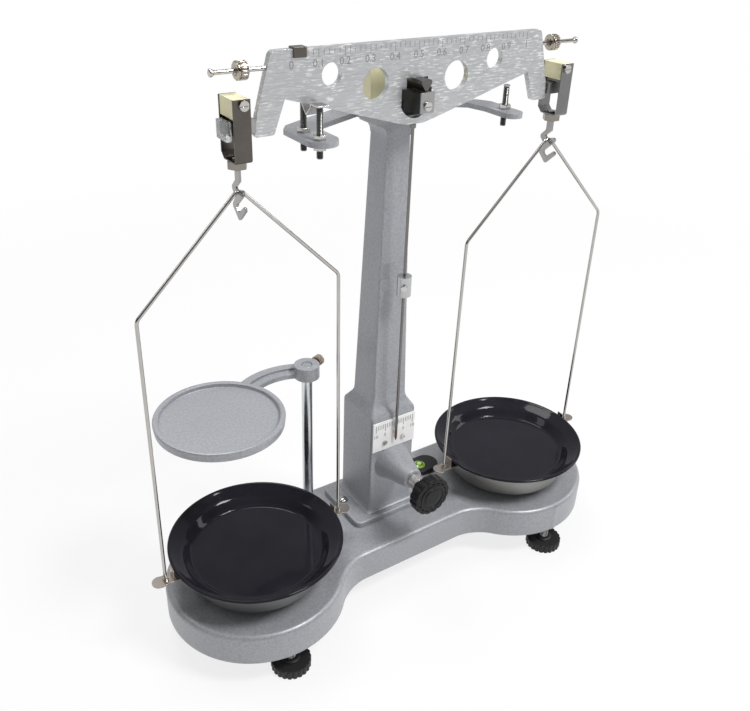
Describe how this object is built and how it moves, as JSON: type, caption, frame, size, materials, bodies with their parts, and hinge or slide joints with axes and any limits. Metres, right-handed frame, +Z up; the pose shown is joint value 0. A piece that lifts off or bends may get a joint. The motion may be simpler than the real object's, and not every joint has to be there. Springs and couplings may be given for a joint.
{
  "type": "laboratory balance",
  "caption": "Equal-arm two-pan laboratory balance with knife edges, beam arrest, rider, sensitivity weight and a swinging side tray on a cast base.",
  "frame": {"origin": "on the bench, in the vertical plane of the beam and the pans, midway between the pans", "axes": "+X along the beam to the right pan, +Y to the back (the knob points to -Y), +Z up"},
  "size_m": [0.38, 0.1337, 0.3914],
  "materials": {
    "grey_casting": "hammered grey paint",
    "tray_casting": "hammered grey paint",
    "black_knurl": "knurled black",
    "bright_steel": "bright",
    "dark_steel": "blackened",
    "scale_white": "satin",
    "black_plastic": "moulded",
    "cream_nylon": "natural nylon",
    "agate": "polished stone",
    "brushed_aluminium": "brushed",
    "clear_plastic": "clear moulded plastic",
    "nickel": "nickel plated",
    "red_paint": "gloss",
    "turned_metal": "turned",
    "dish_metal": "spun",
    "black_pan": "gloss black",
    "brass": "plated",
    "green_vial": "liquid behind clear plastic"
  },
  "bodies": {
    "stand": {"base_casting": "grey_casting", "column": "grey_casting", "crosshead": "grey_casting", "flange_screws": "bright_steel", "scale_plate": "scale_white", "scale_screws": "bright_steel", "shaft_bushing": "bright_steel", "rest_studs": "dark_steel", "rest_nuts": "bright_steel", "rest_cradle": "bright_steel", "rest_button": "bright_steel", "level_housing": "black_plastic", "level_vial": "green_vial"},
    "left_foot": {"foot_left": "black_knurl"},
    "right_foot": {"foot_right": "black_knurl"},
    "rear_foot": {"foot_rear": "black_knurl"},
    "arrest": {"arrest_shaft": "dark_steel", "arrest_knob": "black_plastic"},
    "lift": {"lift_rod": "bright_steel", "lift_head": "cream_nylon", "bearing_bar": "black_plastic", "bearing_agate": "agate", "bearing_clip": "bright_steel", "clip_screw": "bright_steel"},
    "beam_unit": {"beam": "brushed_aluminium", "centre_knife": "dark_steel", "end_knives": "dark_steel", "knife_guard": "clear_plastic", "adjusting_rods": "nickel", "pointer": "bright_steel", "pointer_tip": "red_paint"},
    "left_nut": {"balance_nut_left": "nickel"},
    "right_nut": {"balance_nut_right": "nickel"},
    "rider_clip": {"rider": "bright_steel"},
    "sensitivity_weight": {"gravity_weight": "turned_metal", "weight_screw": "bright_steel"},
    "left_stirrup": {"stirrup_left": "dark_steel", "stirrup_block_left": "cream_nylon", "stirrup_screw_left": "bright_steel"},
    "right_stirrup": {"stirrup_right": "dark_steel", "stirrup_block_right": "cream_nylon", "stirrup_screw_right": "bright_steel"},
    "left_hook": {"swivel_nut_left": "dark_steel", "hook_left": "nickel"},
    "right_hook": {"swivel_nut_right": "dark_steel", "hook_right": "nickel"},
    "left_hanger": {"hanger_left": "nickel", "pan_strip_left": "nickel", "under_dish_left": "dish_metal"},
    "right_hanger": {"hanger_right": "nickel", "pan_strip_right": "nickel", "under_dish_right": "dish_metal"},
    "left_pan": {"pan_left": "black_pan"},
    "right_pan": {"pan_right": "black_pan"},
    "post": {"tray_post": "nickel"},
    "side_tray": {"tray": "tray_casting"},
    "tray_clamp": {"tray_screw": "brass"}
  },
  "joints": [
    {"name": "left_foot_turn", "type": "hinge", "parent": "stand", "child": "left_foot", "pos_m": [-0.118, -0.0525, 0], "axis": [0, 0, 1], "range_deg": [-180, 180]},
    {"name": "right_foot_turn", "type": "hinge", "parent": "stand", "child": "right_foot", "pos_m": [0.115, -0.0555, 0], "axis": [0, 0, 1], "range_deg": [-180, 180]},
    {"name": "rear_foot_turn", "type": "hinge", "parent": "stand", "child": "rear_foot", "pos_m": [0, 0.042, 0], "axis": [0, 0, 1], "range_deg": [-180, 180]},
    {"name": "arrest_turn", "type": "hinge", "parent": "stand", "child": "arrest", "pos_m": [0, 0, 0.091], "axis": [0, 1, 0], "range_deg": [0, 90]},
    {"name": "beam_lift", "type": "slide", "parent": "stand", "child": "lift", "axis": [0, 0, 1], "range_m": [0, 0.002]},
    {"name": "beam_tilt", "type": "hinge", "parent": "lift", "child": "beam_unit", "pos_m": [0, 0, 0.3625], "axis": [0, 1, 0], "range_deg": [-1, 1]},
    {"name": "left_nut_slide", "type": "slide", "parent": "beam_unit", "child": "left_nut", "axis": [1, 0, 0], "range_m": [-0.008, 0.008]},
    {"name": "right_nut_slide", "type": "slide", "parent": "beam_unit", "child": "right_nut", "axis": [1, 0, 0], "range_m": [-0.0045, 0.012]},
    {"name": "rider_slide", "type": "slide", "parent": "beam_unit", "child": "rider_clip", "axis": [1, 0, 0], "range_m": [-0.008, 0.16]},
    {"name": "weight_slide", "type": "slide", "parent": "beam_unit", "child": "sensitivity_weight", "axis": [0, 0, 1], "range_m": [-0.06, 0.06]},
    {"name": "left_stirrup_swing", "type": "hinge", "parent": "beam_unit", "child": "left_stirrup", "pos_m": [-0.115, 0, 0.3625], "axis": [0, 1, 0], "range_deg": [-1.2, 1.2]},
    {"name": "left_hook_swivel", "type": "hinge", "parent": "left_stirrup", "child": "left_hook", "pos_m": [-0.115, 0, 0.3364], "axis": [0, 0, 1], "range_deg": [-5, 5]},
    {"name": "left_hanger_swing", "type": "hinge", "parent": "left_hook", "child": "left_hanger", "pos_m": [-0.115, 0, 0.319], "axis": [1, 0, 0], "range_deg": [-1.2, 1.2]},
    {"name": "left_pan_lift", "type": "slide", "parent": "left_hanger", "child": "left_pan", "axis": [0, 0, 1], "range_m": [0, 0.03]},
    {"name": "right_stirrup_swing", "type": "hinge", "parent": "beam_unit", "child": "right_stirrup", "pos_m": [0.115, 0, 0.3625], "axis": [0, 1, 0], "range_deg": [-1.2, 1.2]},
    {"name": "right_hook_swivel", "type": "hinge", "parent": "right_stirrup", "child": "right_hook", "pos_m": [0.115, 0, 0.3364], "axis": [0, 0, 1], "range_deg": [-5, 5]},
    {"name": "right_hanger_swing", "type": "hinge", "parent": "right_hook", "child": "right_hanger", "pos_m": [0.115, 0, 0.319], "axis": [1, 0, 0], "range_deg": [-1.2, 1.2]},
    {"name": "right_pan_lift", "type": "slide", "parent": "right_hanger", "child": "right_pan", "axis": [0, 0, 1], "range_m": [0, 0.03]},
    {"name": "post_turn", "type": "hinge", "parent": "stand", "child": "post", "pos_m": [-0.0492, 0.0439, 0], "axis": [0, 0, 1], "range_deg": [-96, 30]},
    {"name": "tray_height", "type": "slide", "parent": "post", "child": "side_tray", "axis": [0, 0, 1], "range_m": [-0.04, 0]},
    {"name": "clamp_turn", "type": "hinge", "parent": "side_tray", "child": "tray_clamp", "pos_m": [-0.0492, 0.0439, 0.1653], "axis": [0.9135, 0.4067, 0], "range_deg": [-180, 180]}
  ],
  "couplings": [
    {"joint": "arrest_turn", "follows": "beam_lift", "rad_per_m": 785.4}
  ]
}
